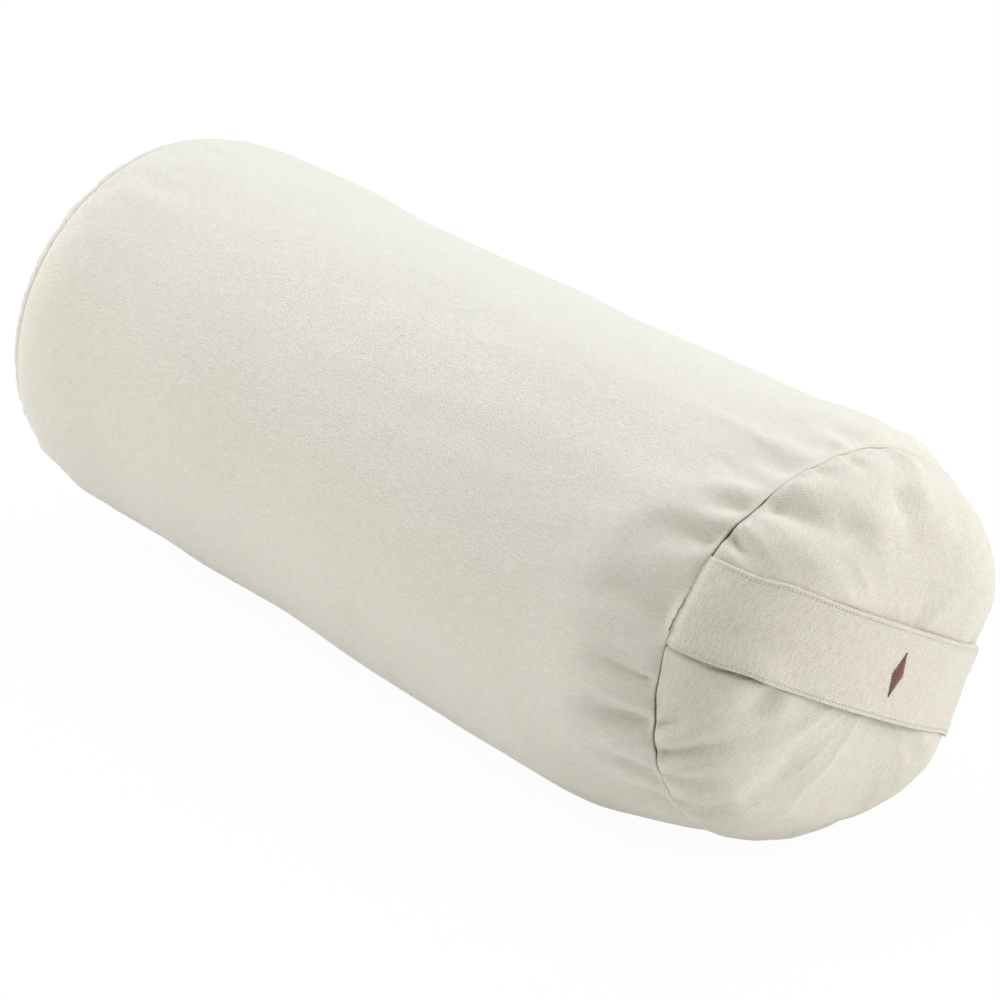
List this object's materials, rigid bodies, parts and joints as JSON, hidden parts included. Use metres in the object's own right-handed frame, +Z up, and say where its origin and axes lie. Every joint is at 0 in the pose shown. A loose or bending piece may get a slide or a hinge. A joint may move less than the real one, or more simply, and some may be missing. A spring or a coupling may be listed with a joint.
{
  "type": "yoga bolster",
  "caption": "Round firm bolster lying on its side: zipped cotton cover with domed ends, a strap handle across one end, an inner case and its filling.",
  "frame": {"origin": "on the floor, under the middle of the flat that the bolster lies on", "axes": "+X along the bolster towards the handle end, +Z up, -Y towards the front, +Y towards the zip"},
  "size_m": [0.6096, 0.2488, 0.2309],
  "materials": {
    "cover_cotton": "matte",
    "liner_cotton": "matte",
    "filling_fibre": "matte",
    "zip_tape": "matte",
    "zip_moulded": "satin",
    "zip_metal": "satin"
  },
  "bodies": {
    "bolster": {"cover_body_panel": "cover_cotton", "cover_end_panel_handle": "cover_cotton", "cover_end_panel_plain": "cover_cotton", "handle_tab_front": "cover_cotton", "handle_tab_back": "cover_cotton", "zip_tape_upper": "zip_tape", "zip_tape_lower": "zip_tape", "zip_chain_upper": "zip_moulded", "zip_chain_lower": "zip_moulded", "zip_top_stop_upper": "zip_metal", "zip_top_stop_lower": "zip_metal", "zip_bottom_stop": "zip_metal", "liner_body": "liner_cotton", "liner_end_handle": "liner_cotton", "liner_end_plain": "liner_cotton", "filling": "filling_fibre"},
    "handle": {"handle_grip": "cover_cotton"},
    "slider": {"zip_slider": "zip_metal"},
    "pull": {"zip_pull": "zip_metal"}
  },
  "joints": [
    {"name": "handle_lift", "type": "slide", "parent": "bolster", "child": "handle", "axis": [1, 0, 0], "range_m": [0, 0.03]},
    {"name": "zip_slide", "type": "slide", "parent": "bolster", "child": "slider", "axis": [-1, 0, 0], "range_m": [0, 0.279], "deforming": ["zip_chain_upper", "zip_chain_lower"]},
    {"name": "zip_pull_swing", "type": "hinge", "parent": "slider", "child": "pull", "pos_m": [0.1398, 0.11465, 0.1575], "axis": [0, 0.3979, -0.9174], "range_deg": [0, 180]}
  ]
}
